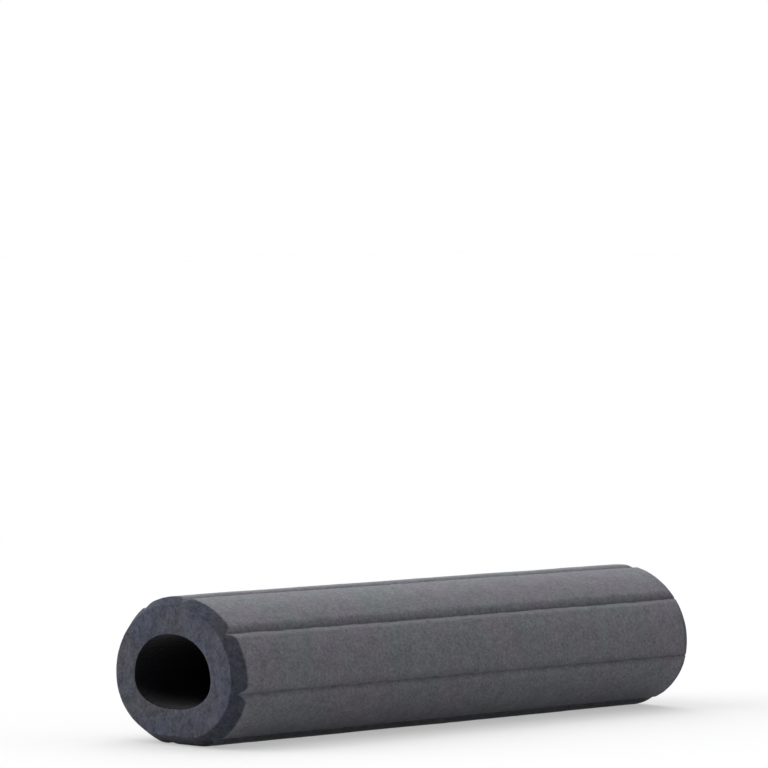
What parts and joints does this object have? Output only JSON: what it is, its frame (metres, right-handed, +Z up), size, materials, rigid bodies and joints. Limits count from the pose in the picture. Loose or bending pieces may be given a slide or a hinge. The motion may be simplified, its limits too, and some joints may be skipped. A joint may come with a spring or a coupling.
{
  "type": "handlebar grip",
  "caption": "Soft foam handlebar grip: a straight slip-on sleeve with lengthwise grooves and chamfered ends, lying on its side.",
  "frame": {"origin": "on the floor under the middle of the sleeve, at the centre of its underside", "axes": "+X along the sleeve, +Z up, -Y the side the picture shows"},
  "size_m": [0.13, 0.0374, 0.0295],
  "materials": {
    "foam": "matt, finely porous silicone foam, charcoal grey"
  },
  "bodies": {
    "root": {"grip_sleeve": "foam"}
  },
  "joints": []
}
